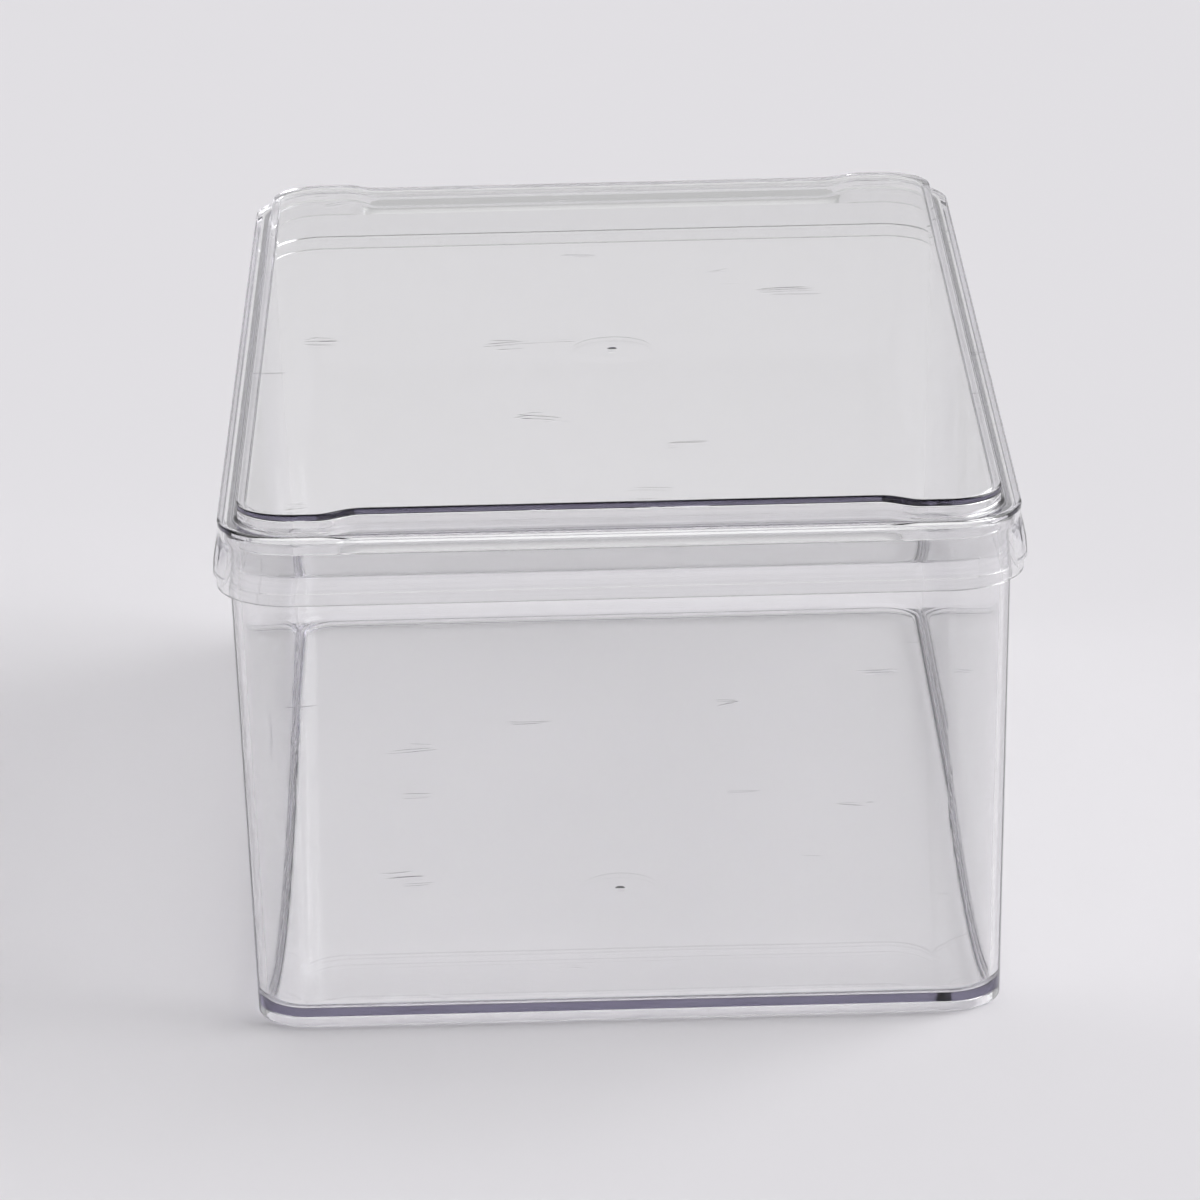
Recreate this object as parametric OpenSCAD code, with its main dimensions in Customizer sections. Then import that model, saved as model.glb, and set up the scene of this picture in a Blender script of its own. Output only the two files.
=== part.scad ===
// Clear storage box with a lift-off lid. Both pieces are thin moulded shells.
// Each shell is a sweep of one wall profile round a rounded rectangle.
// Origin: centre of the footprint, on the surface that the box stands on. +Z up, +Y along the box.

/* [Overall] */
// Width of the lid at its shoulder
lid_width = 150; // [120:1:200]
// Length of the lid at its shoulder
lid_length = 240; // [200:1:320]
// Height of the box from the table to the top of the lid
box_height = 102.5; // [80:0.5:150]
// Radius of the lid's corners at the shoulder, seen from above
corner_radius = 14.5; // [12:0.5:18]

/* [Box body] */
// Wall thickness of the box
wall = 1.8; // [1.6:0.1:2.2]
// Thickness of the floor
floor_thickness = 1.4; // [1.2:0.1:2.5]
// Height of the foot that runs round the underside
foot_height = 1.7; // [1.2:0.1:3]
// Width of the foot
foot_width = 1.9; // [1.6:0.1:3]
// How far each wall leans out between the foot and the rim
wall_draft = 2.4; // [1:0.1:3]
// Radius where the floor meets the walls
floor_fillet = 2.2; // [1:0.1:3]
// Radius of the foot's outer edge
foot_round = 0.7; // [0.3:0.1:1]
// Gap between the rim and the underside of the lid
seat_gap = 0.05; // [0.02:0.01:0.2]

/* [Lid] */
// Wall thickness of the lid
lid_wall = 1.5; // [1.2:0.1:1.8]
// Height of the raised panel above the shoulder
panel_rise = 3.25; // [2.5:0.05:4]
// Width of the flat shoulder round the raised panel
shoulder_width = 3.7; // [3.4:0.1:5]
// Height of the skirt from its lower edge to the shoulder
skirt_height = 13.35; // [12:0.05:16]
// How far the skirt's grip band stands out past the shoulder
grip_band = 1.05; // [0.5:0.05:1.5]
// Depth of the finger recess in each short end of the raised panel
recess_depth = 3.3; // [2:0.1:4]
// Half the width of the recess where it is at full depth
recess_half = 48; // [20:1:49]
// Length over which the recess blends out
recess_blend = 8; // [6:1:9]
// Height of the rib under the lid that centres it in the mouth
rib_height = 3; // [2:0.5:5]
// Running gap between the lid and the box, on each side
lid_gap = 0.3; // [0.2:0.05:0.5]

/* [Hidden] */

// Steps round each quarter corner, and across each blend of the recess
corner_steps = 16;
blend_steps = 8;

// Levels, from the top down
top_z = box_height;
shoulder_z = top_z - panel_rise;
seat_z = shoulder_z - lid_wall;
rim_z = seat_z - seat_gap;
skirt_z = shoulder_z - skirt_height;
band_low_z = skirt_z + 2.8;
band_high_z = skirt_z + 5.4;
waist_z = shoulder_z - 2.85;
floor_z = foot_height + floor_thickness;

// Insets of the outlines from the lid's shoulder outline, taken inwards
rim_in = lid_wall + lid_gap;
foot_in = rim_in + wall_draft;
panel_in = shoulder_width;
rib_in = rim_in + wall + lid_gap;
foot_wall_in = foot_in + wall;

// Rounding radii of the lid's edges
shoulder_round = 0.6;
panel_round = 0.5;
panel_foot = 0.9;
skirt_round = 0.35;
rim_round = 0.8;

// Points of an arc in a profile: [inset, height, share of the recess]
function arc(cx, cz, r, a0, a1, steps, share = 0) =
    [for (k = [0:steps]) let (a = a0 + (a1 - a0) * k / steps) [cx + r * cos(a), cz + r * sin(a), share]];

// Smooth step from 0 to 1
function ease(t) = t * t * (3 - 2 * t);

// Share of the recess at a place across the short end
function recess_at(x) = ease(min(1, max(0, (recess_half + recess_blend - abs(x)) / recess_blend)));

// Places across a short end, from +X to -X, where the recess needs a point
end_x = concat(
    [for (k = [0:blend_steps]) recess_half + recess_blend * (1 - k / blend_steps)],
    [for (k = [0:blend_steps]) -recess_half - recess_blend * k / blend_steps]);

// One quarter corner round its centre, from angle a0
function quarter(cx, cy, r, a0) =
    [for (k = [0:corner_steps]) let (a = a0 + 90 * k / corner_steps) [cx + r * cos(a), cy + r * sin(a)]];

// Closed outline at an inset, with the recess cut to a share of its depth
function outline(inset, share) =
    let (hw = lid_width / 2 - inset, hl = lid_length / 2 - inset, r = corner_radius - inset)
    let (cx = hw - r, cy = hl - r, cut = recess_depth * share)
    concat(
        quarter(cx, cy, r, 0),
        [for (x = end_x) [x, hl - cut * recess_at(x)]],
        quarter(-cx, cy, r, 90),
        quarter(-cx, -cy, r, 180),
        [for (x = end_x) [-x, -hl + cut * recess_at(x)]],
        quarter(cx, -cy, r, 270));

// Closed shell through all the rings of a profile, from its first flat face to its last
module shell(profile) {
    rings = [for (p = profile) [for (q = outline(p[0], p[2])) [q[0], q[1], p[1]]]];
    count = len(rings[0]);
    points = [for (ring = rings) for (p = ring) p];
    sides = [for (i = [0:len(rings) - 2]) for (j = [0:count - 1])
        let (a = i * count + j, b = i * count + (j + 1) % count)
        [a, a + count, b + count, b]];
    first = [for (j = [0:count - 1]) j];
    last = [for (j = [count - 1:-1:0]) (len(rings) - 1) * count + j];
    polyhedron(points, concat([first, last], sides), convexity = 10);
}

// Box body: underside of the floor, foot, outer wall, rim, inner wall, top of the floor
body_profile = concat(
    [[foot_in + foot_width + 0.4, foot_height, 0]],
    [[foot_in + foot_width, foot_height - 0.4, 0]],
    [[foot_in + foot_width - 0.2, 0, 0]],
    arc(foot_in + foot_round, foot_round, foot_round, 270, 180, 4),
    arc(rim_in + rim_round, rim_z - rim_round, rim_round, 180, 90, 5),
    arc(rim_in + wall - rim_round, rim_z - rim_round, rim_round, 90, 0, 5),
    arc(foot_wall_in + floor_fillet, floor_z + floor_fillet, floor_fillet, 180, 270, 6));

// Lid: underside of the panel, rib, seat for the rim, skirt, shoulder, raised panel
lid_profile = concat(
    [[panel_in + lid_wall + 0.5, top_z - lid_wall, 1]],
    [[panel_in + lid_wall, top_z - lid_wall - 0.5, 1]],
    [[panel_in + lid_wall, seat_z + 0.3, 1]],
    [[rib_in + 1.3, seat_z, 0]],
    [[rib_in + 1.2, seat_z - rib_height, 0]],
    [[rib_in + 0.1, seat_z - rib_height, 0]],
    [[rib_in, seat_z, 0]],
    [[lid_wall, seat_z, 0]],
    [[lid_wall - 0.7, skirt_z, 0]],
    arc(-grip_band + 0.55 + skirt_round, skirt_z + skirt_round, skirt_round, 270, 180, 3),
    [[-grip_band + 0.45, band_low_z - 0.3, 0]],
    [[-grip_band, band_low_z, 0]],
    [[-grip_band, band_high_z, 0]],
    [[0.15, waist_z, 0]],
    arc(shoulder_round, shoulder_z - shoulder_round, shoulder_round, 180, 90, 4),
    arc(panel_in - panel_foot, shoulder_z + panel_foot, panel_foot, 270, 360, 4, 1),
    arc(panel_in + panel_round, top_z - panel_round, panel_round, 180, 90, 4, 1));

module box_body() {
    color([0.85, 0.84, 0.88, 0.5])
        shell(body_profile);
}

module lid() {
    color([0.88, 0.87, 0.91, 0.5])
        shell(lid_profile);
}

box_body();
lid();
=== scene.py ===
"""Clear moulded storage box with a lift-off lid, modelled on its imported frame."""

import math

import bmesh
import bpy
from mathutils import Matrix, Vector


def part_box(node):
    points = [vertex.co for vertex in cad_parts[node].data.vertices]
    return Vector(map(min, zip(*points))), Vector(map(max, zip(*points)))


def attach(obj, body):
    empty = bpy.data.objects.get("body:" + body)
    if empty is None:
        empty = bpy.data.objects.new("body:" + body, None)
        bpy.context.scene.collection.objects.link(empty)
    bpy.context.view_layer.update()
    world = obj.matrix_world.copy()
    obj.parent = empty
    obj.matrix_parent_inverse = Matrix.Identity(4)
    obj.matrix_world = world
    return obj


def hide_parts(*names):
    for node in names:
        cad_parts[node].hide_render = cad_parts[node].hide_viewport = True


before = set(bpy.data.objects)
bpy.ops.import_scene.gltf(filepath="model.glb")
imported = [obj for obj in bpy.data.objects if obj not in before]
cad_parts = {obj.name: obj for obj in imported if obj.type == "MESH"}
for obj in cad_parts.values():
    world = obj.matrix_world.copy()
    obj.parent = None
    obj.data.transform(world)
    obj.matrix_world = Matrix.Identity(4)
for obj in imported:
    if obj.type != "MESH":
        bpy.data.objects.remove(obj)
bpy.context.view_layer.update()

bl_info = {
    "name": "Clear Storage Box",
    "version": (1, 0, 0),
    "blender": (4, 5, 0),
    "location": "View3D > Sidebar > Storage Box",
    "description": "Models a clear moulded storage box, its lift-off lid and a pale studio",
    "category": "Add Mesh",
}

MM = 0.001
BODY_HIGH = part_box("box_body")[1]
LID_LOW, LID_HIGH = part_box("lid")

# Both shells: each long side is this much longer than the short side, from the centre, at every level
LENGTH_EXTRA = LID_HIGH.y - LID_HIGH.x
# How finely the upright corners are rounded, and a short end cut for its finger recess
CORNER_SEGMENTS = 24
END_CUTS = 120
# Edges that turn more sharply than this stay crisp
CRISP_ANGLE = 50

# Box: the upright strip under its rim, and the small roundings and slopes of the rim and the foot ring
RIM_STRIP = 0.1 * MM
RIM_ROUND = 0.8 * MM
FOOT_ROUND = 0.7 * MM
RING_BEVEL = 0.2 * MM
RING_LEAN = 0.1 * MM
RING_COVE = 0.3 * MM

# Lid: how far its grip band stands out from the shoulder, and how high over the foot it starts and ends
BAND_PROUD = 1.05 * MM
BAND_LOW = 2.8 * MM
BAND_HIGH = 3.2 * MM
# The waist, where the flare ends: how far in from the shoulder's edge, and how far below the shoulder
WAIST_IN = 0.15 * MM
WAIST_DROP = 2.85 * MM
SHOULDER_ROUND = 0.6 * MM
PANEL_COVE = 0.9 * MM
PANEL_ROUND = 0.5 * MM
# Its stepped lower edge: how far that stands out, the step under the band, the roundings, the inner lean
SKIRT_PROUD = 0.5 * MM
STEP_RUN = 0.1 * MM
STEP_DROP = 0.3 * MM
SKIRT_OUTER_ROUND = 0.35 * MM
SKIRT_INNER_ROUND = 0.2 * MM
SKIRT_LEAN = 0.7 * MM
# The centring rib's draft and how far in its foot reaches, and the slope and chamfer of the panel's hollow
RIB_DRAFT = 0.1 * MM
RIB_FOOT_IN = 1.2 * MM
HOLLOW_DRAFT = 0.01 * MM
HOLLOW_CHAMFER = 0.5 * MM

# Where the gates were, on the lid's panel and on the floor
LID_GATE = (0.3 * MM, -13.6 * MM)
FLOOR_GATE = (-0.8 * MM, -54 * MM)
# Each gate's mark, as radius and depth of the shallow round and of the pit at its centre
GATE_ROUND = (8 * MM, 0.05 * MM)
GATE_PIT = (0.96 * MM, 0.25 * MM)

# Surface: how many of the mould's sink patches a metre has, how deep they are, and what share of that shows
SINKS_PER_METRE = 28.0
SINK_DEPTH = 0.02 * MM
SINK_SHARE = 0.3
# Hairlines: their bends in a metre across, along and up the box, their depth, and their patches in a metre
HAIRLINE_BENDS_PER_METRE = (14.0, 90.0, 40.0)
HAIRLINE_DEPTH = 0.03 * MM
HAIRLINE_PATCHES_PER_METRE = 60.0
# How far a hairline reaches from its middle, and from where the patches show one, in steps of their noise
HAIRLINE_REACH = 0.008
PATCH_EDGE = 0.72
PATCH_FULL = 0.80

# Clear acrylic: index of refraction, and how strongly it takes its depth colour, per metre
ACRYLIC_IOR = 1.49
ACRYLIC_DEPTH_DENSITY = 8.0

# Soft boxes as way to the middle, strength, and the cosines from the middle where the glow ends and is full
SOFT_BOXES = (
    ((0.80, 0.16, 0.54), 4.4, 0.80, 0.95),
    ((-0.05, 0.60, 0.80), 0.72, 0.66, 0.98),
)
# Brightness of the room in front of the box and behind it, and the Y of the ways where each is reached
ROOM_FRONT = 0.05
ROOM_BACK = 0.46
ROOM_FRONT_WAY = -0.4
ROOM_BACK_WAY = 0.95
FLOOR_SIZE = 6.0
PAPER_ROUGHNESS = 0.9

# Where the photograph was taken from: a long lens, from the front and a little above
CAMERA_PLACE = (-13.365 * MM, -1255.248 * MM, 473.566 * MM)
CAMERA_LENS = 194.73
CAMERA_SENSOR = 36.0
CAMERA_YAW = 0.469
CAMERA_PITCH = 18.857
CAMERA_ROLL = -1.250
# Light turns many times inside clear edges before it leaves them
LIGHT_BOUNCES = 64


def linear(hex_colour):
    """A colour given as sRGB hex, such as #E8E6EA, in linear light with full alpha."""
    channels = [int(hex_colour[i:i + 2], 16) / 255 for i in (1, 3, 5)]
    return tuple(c / 12.92 if c <= 0.04045 else ((c + 0.055) / 1.055) ** 2.4 for c in channels) + (1.0,)


def length(name, default, description):
    """A length of the object that a user may change."""
    return bpy.props.FloatProperty(
        name=name, description=description, default=default, subtype="DISTANCE", unit="LENGTH", precision=5
    )


def colour(name, default, description):
    """A colour that a user may change, given as sRGB hex."""
    return bpy.props.FloatVectorProperty(
        name=name, description=description, default=linear(default)[:3], subtype="COLOR", min=0, max=1
    )


class StorageBoxSizes(bpy.types.PropertyGroup):
    """Sizes of the box and the lid, in metres, and their colours."""

    corner_radius: length("Corner radius", 14.5 * MM, "Radius of the shoulder's corners, from above")
    wall: length("Box wall", 1.8 * MM, "Wall thickness of the box")
    floor_thickness: length("Floor", 1.4 * MM, "Thickness of the floor")
    foot_height: length("Foot height", 1.7 * MM, "Height of the ring under the floor")
    foot_width: length("Foot width", 1.9 * MM, "Width of the ring under the floor")
    wall_draft: length("Wall draft", 2.4 * MM, "How far each wall leans out between the foot and the rim")
    floor_fillet: length("Floor fillet", 2.2 * MM, "Radius where the floor meets the walls")
    lid_wall: length("Lid wall", 1.5 * MM, "Wall thickness of the lid")
    panel_rise: length("Panel rise", 3.25 * MM, "Height of the raised panel above the shoulder")
    shoulder_width: length("Shoulder width", 3.7 * MM, "Width of the flat shoulder round the panel")
    recess_depth: length("Recess depth", 3.3 * MM, "Depth of the finger recess in each short end")
    recess_half: length("Recess half width", 48 * MM, "Half the width of the recess at its full depth")
    recess_blend: length("Recess blend", 8 * MM, "Length over which the recess blends out")
    rib_height: length("Rib height", 3 * MM, "Height of the centring rib under the lid")
    lid_gap: length("Lid gap", 0.3 * MM, "Running gap between the lid and the box on each side")
    plastic: colour("Plastic", "#FBFBFB", "Colour of the clear plastic at its surfaces")
    plastic_depth: colour("Plastic depth", "#695993", "Colour that the plastic takes seen edge on")
    floor_paper: colour("Floor paper", "#E6E4E8", "Colour of the studio's floor")


def add_node(tree, kind, inputs=None, **settings):
    """Adds one shader node, with its settings, and sets or links its inputs."""
    made = tree.nodes.new(kind)
    for name, value in settings.items():
        setattr(made, name, value)
    for name, value in (inputs or {}).items():
        if isinstance(value, bpy.types.NodeSocket):
            tree.links.new(value, made.inputs[name])
        else:
            made.inputs[name].default_value = value
    return made


def new_material(name):
    """An empty node material."""
    material = bpy.data.materials.new(name)
    material.use_nodes = True
    material.node_tree.nodes.clear()
    return material


def sunk_skin(tree, place):
    """The slight waver of a moulded wall: broad shallow sinks, as a normal."""
    sinks = add_node(tree, "ShaderNodeTexNoise", {
        "Vector": place,
        "Scale": SINKS_PER_METRE,
        "Detail": 1.0,
    })
    return add_node(tree, "ShaderNodeBump", {
        "Height": sinks.outputs["Fac"],
        "Distance": SINK_DEPTH,
        "Strength": SINK_SHARE,
    }).outputs["Normal"]


def hairlines(tree, place, skin):
    """Rare fine scratches, mostly crosswise, in a skin: level lines of a noise, kept in few patches."""
    strokes = add_node(tree, "ShaderNodeMapping", {
        "Vector": place,
        "Scale": HAIRLINE_BENDS_PER_METRE,
    }).outputs["Vector"]
    bends = add_node(tree, "ShaderNodeTexNoise", {"Vector": strokes, "Scale": 1.0, "Detail": 2.0})
    level = add_node(tree, "ShaderNodeMath", {0: bends.outputs["Fac"], 1: 0.5}, operation="SUBTRACT")
    off_line = add_node(tree, "ShaderNodeMath", {0: level.outputs["Value"]}, operation="ABSOLUTE")
    line = add_node(tree, "ShaderNodeMapRange", {
        "Value": off_line.outputs["Value"],
        "From Min": 0.0,
        "From Max": HAIRLINE_REACH,
        "To Min": 1.0,
        "To Max": 0.0,
    }, interpolation_type="SMOOTHSTEP").outputs["Result"]
    patches = add_node(tree, "ShaderNodeTexNoise", {
        "Vector": place,
        "Scale": HAIRLINE_PATCHES_PER_METRE,
        "Detail": 0.0,
    })
    rare = add_node(tree, "ShaderNodeMapRange", {
        "Value": patches.outputs["Fac"],
        "From Min": PATCH_EDGE,
        "From Max": PATCH_FULL,
    }).outputs["Result"]
    scored = add_node(tree, "ShaderNodeMath", {0: line, 1: rare}, operation="MULTIPLY")
    return add_node(tree, "ShaderNodeBump", {
        "Height": scored.outputs["Value"],
        "Distance": HAIRLINE_DEPTH,
        "Strength": 1.0,
        "Normal": skin,
    }).outputs["Normal"]


def clear_acrylic(name, sizes):
    """Clear acrylic (PMMA) from a polished injection mould.

    The mould's polish gives sharp reflections and a view through without haze. As it cools, the plastic
    sinks by a few thousandths of a millimetre in patches some 36 mm across, which the eye sees as a slight
    waver in the reflections. Wiping leaves hairlines, drawn 0.2 mm wide so that they show here.
    The walls look clear, and the edges, where the eye looks along the plastic, take a violet grey.
    """
    material = new_material(name)
    tree = material.node_tree
    place = add_node(tree, "ShaderNodeTexCoord").outputs["Object"]
    surface = add_node(tree, "ShaderNodeBsdfPrincipled", {
        "Base Color": (*sizes.plastic, 1.0),
        "Roughness": 0.0,
        "IOR": ACRYLIC_IOR,
        "Transmission Weight": 1.0,
        "Normal": hairlines(tree, place, sunk_skin(tree, place)),
    })
    depth = add_node(tree, "ShaderNodeVolumeAbsorption", {
        "Color": (*sizes.plastic_depth, 1.0),
        "Density": ACRYLIC_DEPTH_DENSITY,
    })
    add_node(tree, "ShaderNodeOutputMaterial", {
        "Surface": surface.outputs["BSDF"],
        "Volume": depth.outputs["Volume"],
    })
    return material


def pale_paper(colour_of_paper):
    """Matt paper, unrolled for the studio's floor. Its fine fibres scatter light, so it has no shine."""
    material = new_material("pale_paper_floor")
    surface = add_node(material.node_tree, "ShaderNodeBsdfPrincipled", {
        "Base Color": (*colour_of_paper, 1.0),
        "Roughness": PAPER_ROUGHNESS,
    })
    add_node(material.node_tree, "ShaderNodeOutputMaterial", {"Surface": surface.outputs["BSDF"]})
    return material


def arc(half, z, radius, start, end, steps):
    """Points of a rounding in a wall profile, as (half width, height), between two angles in degrees."""
    angles = [math.radians(start + (end - start) * k / steps) for k in range(steps + 1)]
    return [(half + radius * math.cos(a), z + radius * math.sin(a)) for a in angles]


def flare(half, z, end_half, end_z, steps):
    """Points of a wall that leaves the upright at (half, z) and leans more and more up to its end."""
    turns = [math.pi / 2 * k / steps for k in range(steps + 1)]
    return [
        (half + (end_half - half) * (1 - math.cos(t)), z + (end_z - z) * t / (math.pi / 2)) for t in turns
    ]


def deselect_everything():
    """Leaves no object selected, and in edit mode no part of the mesh."""
    if bpy.context.mode == "EDIT_MESH":
        bpy.ops.mesh.select_all(action="DESELECT")
    else:
        bpy.ops.object.select_all(action="DESELECT")


def select_parts(kind, wanted):
    """Selects the verts, edges or faces of the edited mesh for which wanted() is true."""
    bpy.ops.mesh.select_mode(type={"verts": "VERT", "edges": "EDGE", "faces": "FACE"}[kind])
    deselect_everything()
    mesh = bpy.context.edit_object.data
    parts = bmesh.from_edit_mesh(mesh)
    for part in getattr(parts, kind):
        if wanted(part):
            part.select_set(True)
    parts.select_flush_mode()
    bmesh.update_edit_mesh(mesh)


def select_cap(side, level=None):
    """Selects the largest face that looks up (side 1) or down (side -1), at a level if one is given."""
    mesh = bpy.context.edit_object.data
    faces = [
        f for f in bmesh.from_edit_mesh(mesh).faces
        if f.normal.z * side > 0.99 and (level is None or abs(f.calc_center_median().z - level) < 1e-6)
    ]
    best = max(faces, key=lambda f: f.calc_area()).index
    select_parts("faces", lambda f: f.index == best)


def start_slab(name, half, low, high, radius, end_cuts=0):
    """A rounded slab at a shell's widest level, in edit mode. Its short ends may be cut into strips."""
    deselect_everything()
    bpy.ops.mesh.primitive_cube_add(size=1, location=(0, 0, (low + high) / 2))
    slab = bpy.context.object
    slab.name = name
    slab.data.name = name
    slab.scale = (2 * half, 2 * (half + LENGTH_EXTRA), high - low)
    bpy.ops.object.transform_apply(location=True, rotation=True, scale=True)
    bpy.ops.object.mode_set(mode="EDIT")
    select_parts("edges", lambda e: abs((e.verts[0].co - e.verts[1].co).z) > (high - low) / 2)
    bpy.ops.mesh.bevel(offset=radius, segments=CORNER_SEGMENTS, profile=0.5, affect="EDGES")
    if end_cuts:
        straight = half - radius
        select_parts("edges", lambda e: abs((e.verts[0].co - e.verts[1].co).x) > straight
                     and abs(e.verts[0].co.y) > half)
        bpy.ops.mesh.subdivide(number_cuts=end_cuts)
        # The cuts also split the flat caps, which have to stay one face each
        select_parts("faces", lambda f: abs(f.normal.z) > 0.99)
        bpy.ops.mesh.dissolve_faces(use_verts=False)
    return slab


def follow(points, side):
    """Grows the selected face along a wall profile of (half width, height), from the point it is at."""
    least_step = 1e-7
    for (half, z), (next_half, next_z) in zip(points, points[1:]):
        inset = half - next_half
        rise = next_z - z
        if inset > least_step:
            bpy.ops.mesh.inset(thickness=inset, depth=rise * side, use_even_offset=True)
            continue
        bpy.ops.mesh.extrude_region_move(TRANSFORM_OT_translate={"value": (0, 0, rise)})
        if inset < -least_step:
            grow_x = next_half / half
            grow_y = (next_half + LENGTH_EXTRA) / (half + LENGTH_EXTRA)
            bpy.ops.transform.resize(value=(grow_x, grow_y, 1), center_override=(0, 0, next_z))


def recess_share(x, sizes):
    """How much of the recess's depth is reached at x: 1 in the middle, 0 past the blend."""
    share = (sizes.recess_half + sizes.recess_blend - abs(x)) / sizes.recess_blend
    share = min(1.0, max(0.0, share))
    return share * share * (3 - 2 * share)


def press_recesses(sizes, side):
    """Moves the selected face's short ends in by the finger recesses, column by column."""
    mesh = bpy.context.edit_object.data
    parts = bmesh.from_edit_mesh(mesh)
    cap = next(f for f in parts.faces if f.select)
    level = cap.verts[0].co.z
    columns = {}
    for v in cap.verts:
        share = recess_share(v.co.x, sizes)
        if share > 0:
            columns.setdefault((round(share, 4), v.co.y > 0), []).append(v.index)
    for (share, far), members in columns.items():
        chosen = set(members)
        select_parts("verts", lambda v: v.index in chosen)
        shift = sizes.recess_depth * share
        bpy.ops.transform.translate(value=(0, -shift if far else shift, 0))
    select_cap(side, level)


def gate_mark(shell, place, z):
    """Sinks the shallow round mark that a mould's gate leaves, with a pit at its centre, into a flat."""
    for radius, depth in (GATE_ROUND, GATE_PIT):
        deselect_everything()
        bpy.ops.mesh.primitive_uv_sphere_add(
            segments=48, ring_count=24, radius=radius, location=(*place, z))
        tool = bpy.context.object
        tool.scale = (1, 1, depth / radius)
        bpy.ops.object.transform_apply(location=True, rotation=True, scale=True)
        deselect_everything()
        shell.select_set(True)
        bpy.context.view_layer.objects.active = shell
        cut = shell.modifiers.new("gate mark", "BOOLEAN")
        cut.operation = "DIFFERENCE"
        cut.object = tool
        cut.solver = "EXACT"
        bpy.ops.object.modifier_apply(modifier=cut.name)
        bpy.data.objects.remove(tool)


def finish_shell(shell, material, body, node):
    """Smooths the roundings, keeps the flats flat, and puts the piece in its node's place."""
    deselect_everything()
    shell.select_set(True)
    bpy.context.view_layer.objects.active = shell
    bpy.ops.object.shade_smooth_by_angle(angle=math.radians(CRISP_ANGLE))
    weighted = shell.modifiers.new("flat faces stay flat", "WEIGHTED_NORMAL")
    weighted.keep_sharp = True
    bpy.ops.object.modifier_apply(modifier=weighted.name)
    shell.data.materials.append(material)
    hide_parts(node)
    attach(shell, body)


class BOX_OT_box_body(bpy.types.Operator):
    """Moulds the box: foot ring, drafted walls, rounded rim and filleted floor"""

    bl_idname = "storage_box.box_body"
    bl_label = "Box Body"
    bl_options = {"REGISTER", "UNDO"}

    def execute(self, context):
        sizes = context.scene.storage_box
        rim = BODY_HIGH.x
        strip_high = BODY_HIGH.z - RIM_ROUND
        strip_low = strip_high - RIM_STRIP
        lid_shoulder = LID_HIGH.x - BAND_PROUD
        foot = rim - sizes.wall_draft
        floor_z = sizes.foot_height + sizes.floor_thickness
        fillet = sizes.floor_fillet
        shell = start_slab(
            "box_body_shell", rim, strip_low, strip_high, sizes.corner_radius - (lid_shoulder - rim))

        # Over the rim, down the inside of the walls and across the floor
        select_cap(1)
        follow(
            arc(rim - RIM_ROUND, strip_high, RIM_ROUND, 0, 90, steps=6)
            + arc(rim - sizes.wall + RIM_ROUND, strip_high, RIM_ROUND, 90, 180, steps=6)
            + arc(foot - sizes.wall - fillet, floor_z + fillet, fillet, 0, -90, steps=8),
            1)

        # Down the outside of the walls, under the foot ring and up to the floor's underside
        select_cap(-1)
        ring_inner = foot - sizes.foot_width
        follow(
            [(rim, strip_low)]
            + arc(foot - FOOT_ROUND, FOOT_ROUND, FOOT_ROUND, 0, -90, steps=6)
            + [(ring_inner + RING_BEVEL, 0.0)]
            + [(ring_inner, RING_BEVEL)]
            + [(ring_inner - RING_LEAN, sizes.foot_height - RING_COVE)]
            + [(ring_inner - RING_LEAN - RING_COVE, sizes.foot_height)],
            -1)
        bpy.ops.object.mode_set(mode="OBJECT")
        gate_mark(shell, FLOOR_GATE, floor_z)
        finish_shell(shell, clear_acrylic("clear_acrylic_body", sizes), "box", "box_body")
        return {"FINISHED"}


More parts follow.
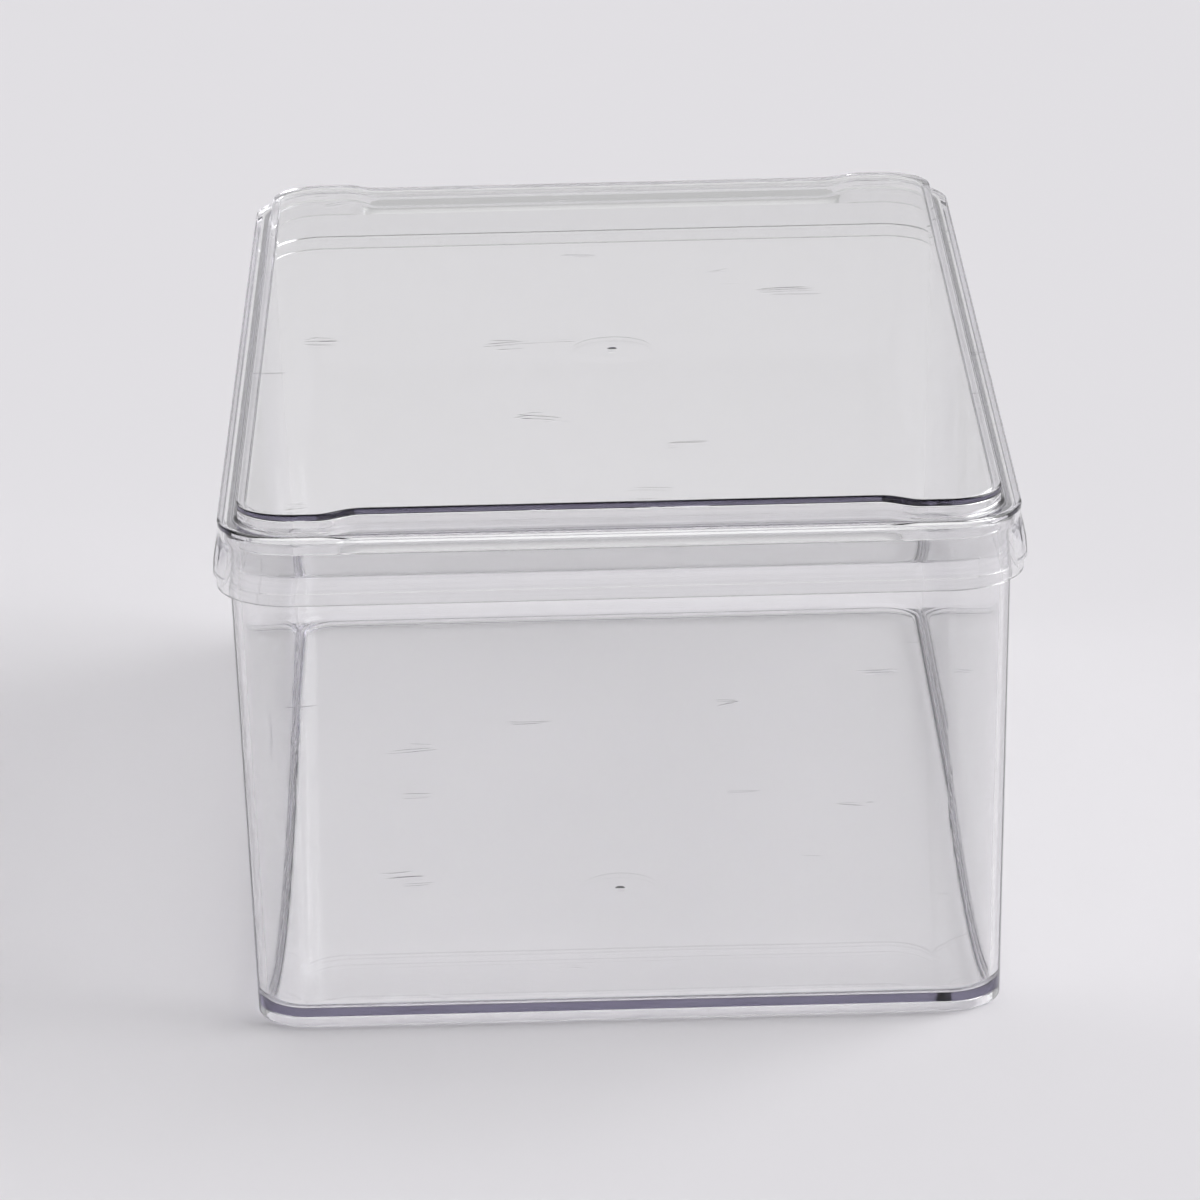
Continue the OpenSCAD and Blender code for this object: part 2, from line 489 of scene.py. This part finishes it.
class BOX_OT_lid(bpy.types.Operator):
    """Moulds the lid: raised panel with finger recesses, shoulder, flared skirt, seat and centring rib"""

    bl_idname = "storage_box.lid"
    bl_label = "Lid"
    bl_options = {"REGISTER", "UNDO"}

    def execute(self, context):
        sizes = context.scene.storage_box
        band = LID_HIGH.x
        top = LID_HIGH.z
        foot = LID_LOW.z
        band_low = foot + BAND_LOW
        band_high = foot + BAND_HIGH
        shoulder = band - BAND_PROUD
        shoulder_z = top - sizes.panel_rise
        panel = shoulder - sizes.shoulder_width
        shell = start_slab(
            "lid_shell", band, band_low, band_high, sizes.corner_radius + BAND_PROUD, END_CUTS)

        # Up the flare, over the shoulder and up the raised panel's wall, with its finger recesses
        select_cap(1)
        follow(
            flare(band, band_high, shoulder - WAIST_IN, shoulder_z - WAIST_DROP, steps=10)
            + arc(shoulder - SHOULDER_ROUND, shoulder_z - SHOULDER_ROUND, SHOULDER_ROUND, 0, 90, steps=5)
            + [(panel + PANEL_COVE, shoulder_z)],
            1)
        press_recesses(sizes, 1)
        follow(
            arc(panel + PANEL_COVE, shoulder_z + PANEL_COVE, PANEL_COVE, -90, -180, steps=6)
            + arc(panel - PANEL_ROUND, top - PANEL_ROUND, PANEL_ROUND, 0, 90, steps=5),
            1)

        # Round the stepped lower edge, up the inside to the seat, round the rib and into the panel's hollow
        select_cap(-1)
        seat = shoulder_z - sizes.lid_wall
        inner = shoulder - sizes.lid_wall
        inner_foot = inner + SKIRT_LEAN
        skirt = shoulder + SKIRT_PROUD
        rib = BODY_HIGH.x - sizes.wall - sizes.lid_gap
        hollow = panel - sizes.lid_wall
        ceiling = top - sizes.lid_wall
        follow(
            [(band, band_low)]
            + [(skirt + STEP_RUN, band_low - STEP_DROP)]
            + arc(skirt - SKIRT_OUTER_ROUND, foot + SKIRT_OUTER_ROUND, SKIRT_OUTER_ROUND, 0, -90, steps=4)
            + arc(
                inner_foot + SKIRT_INNER_ROUND, foot + SKIRT_INNER_ROUND, SKIRT_INNER_ROUND,
                -90, -180, steps=3)
            + [(inner, seat)]
            + [(rib, seat)]
            + [(rib - RIB_DRAFT, seat - sizes.rib_height)]
            + [(rib - RIB_FOOT_IN, seat - sizes.rib_height)]
            + [(hollow, seat)],
            -1)
        press_recesses(sizes, -1)
        follow(
            [(hollow, seat)]
            + [(hollow - HOLLOW_DRAFT, ceiling - HOLLOW_CHAMFER)]
            + [(hollow - HOLLOW_CHAMFER, ceiling)],
            -1)
        bpy.ops.object.mode_set(mode="OBJECT")
        gate_mark(shell, LID_GATE, top)
        finish_shell(shell, clear_acrylic("clear_acrylic_lid", sizes), "lid", "lid")
        return {"FINISHED"}


def soft_room():
    """A pale room, brighter behind the box, lit by two soft boxes: one to the right, one behind."""
    world = bpy.data.worlds.new("soft_room")
    world.use_nodes = True
    tree = world.node_tree
    tree.nodes.clear()
    way = add_node(tree, "ShaderNodeTexCoord").outputs["Generated"]
    parts = add_node(tree, "ShaderNodeSeparateXYZ", {"Vector": way})
    total = add_node(tree, "ShaderNodeMapRange", {
        "Value": parts.outputs["Y"],
        "From Min": ROOM_FRONT_WAY,
        "From Max": ROOM_BACK_WAY,
        "To Min": ROOM_FRONT,
        "To Max": ROOM_BACK,
    }, interpolation_type="SMOOTHSTEP").outputs["Result"]
    for middle, strength, edge, core in SOFT_BOXES:
        towards = add_node(tree, "ShaderNodeVectorMath", {
            0: way,
            1: Vector(middle).normalized(),
        }, operation="DOT_PRODUCT")
        glow = add_node(tree, "ShaderNodeMapRange", {
            "Value": towards.outputs["Value"],
            "From Min": edge,
            "From Max": core,
            "To Max": strength,
        }, interpolation_type="SMOOTHSTEP")
        total = add_node(tree, "ShaderNodeMath", {0: total, 1: glow.outputs["Result"]}).outputs["Value"]
    light = add_node(tree, "ShaderNodeBackground", {"Color": linear("#FFFFFF"), "Strength": total})
    add_node(tree, "ShaderNodeOutputWorld", {"Surface": light.outputs["Background"]})
    return world


class BOX_OT_studio(bpy.types.Operator):
    """Sets a pale floor, soft studio light and the camera"""

    bl_idname = "storage_box.studio"
    bl_label = "Studio"
    bl_options = {"REGISTER", "UNDO"}

    def execute(self, context):
        deselect_everything()
        bpy.ops.mesh.primitive_plane_add(size=FLOOR_SIZE, location=(0, 0, 0))
        floor = context.object
        floor.name = "floor"
        floor.data.materials.append(pale_paper(context.scene.storage_box.floor_paper))

        context.scene.world = soft_room()
        context.scene.view_settings.view_transform = "Standard"

        bpy.ops.object.camera_add(location=CAMERA_PLACE)
        camera = context.object
        turn = (
            Matrix.Rotation(-math.radians(CAMERA_YAW), 4, "Z")
            @ Matrix.Rotation(math.radians(90 - CAMERA_PITCH), 4, "X")
            @ Matrix.Rotation(math.radians(CAMERA_ROLL), 4, "Z")
        )
        camera.rotation_euler = turn.to_euler()
        camera.data.lens = CAMERA_LENS
        camera.data.sensor_width = CAMERA_SENSOR
        context.scene.camera = camera

        light_paths = context.scene.cycles
        light_paths.max_bounces = LIGHT_BOUNCES
        light_paths.glossy_bounces = LIGHT_BOUNCES
        light_paths.transmission_bounces = LIGHT_BOUNCES
        light_paths.blur_glossy = 0.0
        return {"FINISHED"}


class BOX_PT_storage_box(bpy.types.Panel):
    """Sizes and steps of the storage box"""

    bl_label = "Storage Box"
    bl_idname = "BOX_PT_storage_box"
    bl_space_type = "VIEW_3D"
    bl_region_type = "UI"
    bl_category = "Storage Box"

    def draw(self, context):
        layout = self.layout
        for name in StorageBoxSizes.__annotations__:
            layout.prop(context.scene.storage_box, name)
        for operator in (BOX_OT_box_body, BOX_OT_lid, BOX_OT_studio):
            layout.operator(operator.bl_idname)


CLASSES = (StorageBoxSizes, BOX_OT_box_body, BOX_OT_lid, BOX_OT_studio, BOX_PT_storage_box)


def register():
    """Registers the classes and the sizes that they read."""
    for cls in CLASSES:
        bpy.utils.register_class(cls)
    bpy.types.Scene.storage_box = bpy.props.PointerProperty(type=StorageBoxSizes)


def unregister():
    """Removes what register() added."""
    del bpy.types.Scene.storage_box
    for cls in reversed(CLASSES):
        bpy.utils.unregister_class(cls)


def main():
    """Models the whole box."""
    register()
    bpy.ops.storage_box.box_body()
    bpy.ops.storage_box.lid()
    bpy.ops.storage_box.studio()


if __name__ == "__main__":
    main()
